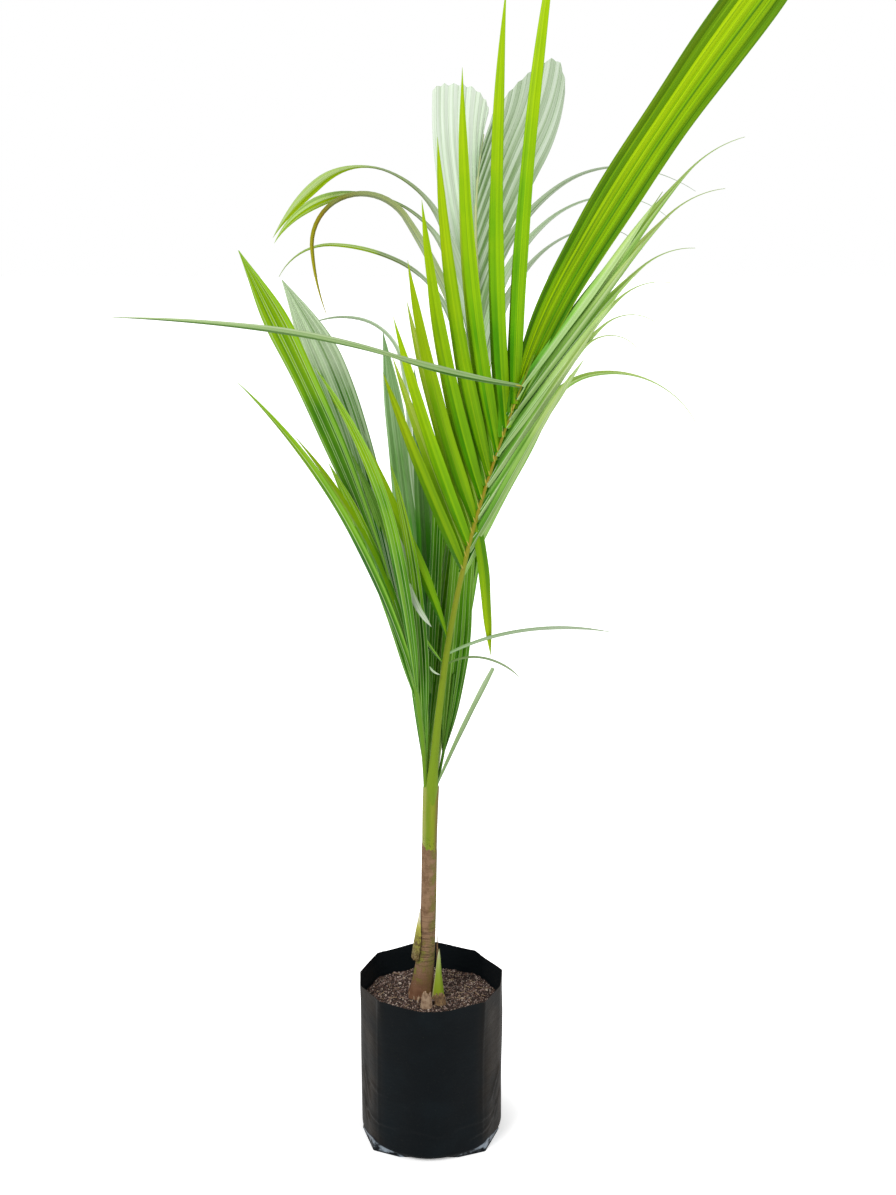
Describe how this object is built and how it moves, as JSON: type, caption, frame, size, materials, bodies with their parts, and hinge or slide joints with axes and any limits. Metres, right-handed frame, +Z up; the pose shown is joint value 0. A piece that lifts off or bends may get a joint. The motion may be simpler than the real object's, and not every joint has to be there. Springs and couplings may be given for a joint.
{
  "type": "coconut palm in grow bag",
  "caption": "Young coconut palm in a black nursery bag: a leaning ringed stem, a torn sheath, and steep fronds of long leaflets and fused blades over dark soil.",
  "frame": {"origin": "middle of the bag's flat underside", "axes": "+Z up, +X to the right in the picture, -Y toward the viewer"},
  "size_m": [1.0204, 0.5908, 2.0713],
  "materials": {
    "bag_film": "satin",
    "soil": "matte",
    "bark": "matte",
    "sheath_green": "satin",
    "scale_green": "satin",
    "dry_husk": "matte",
    "leaf_front": "satin",
    "leaf_back": "satin",
    "leaf_left": "satin",
    "leaf_middle": "satin",
    "leaf_low": "satin"
  },
  "bodies": {
    "root": {"grow_bag": "bag_film", "potting_soil": "soil", "stem": "bark", "split_sheath": "sheath_green", "scale_leaf": "scale_green", "dry_spike": "dry_husk", "husk_stub_front": "dry_husk", "husk_stub_right": "dry_husk", "front_frond": "leaf_front", "back_frond": "leaf_back", "left_frond": "leaf_left", "middle_frond": "leaf_middle", "rear_frond": "leaf_middle", "low_frond": "leaf_low", "leaf_strip": "leaf_back"}
  },
  "joints": []
}
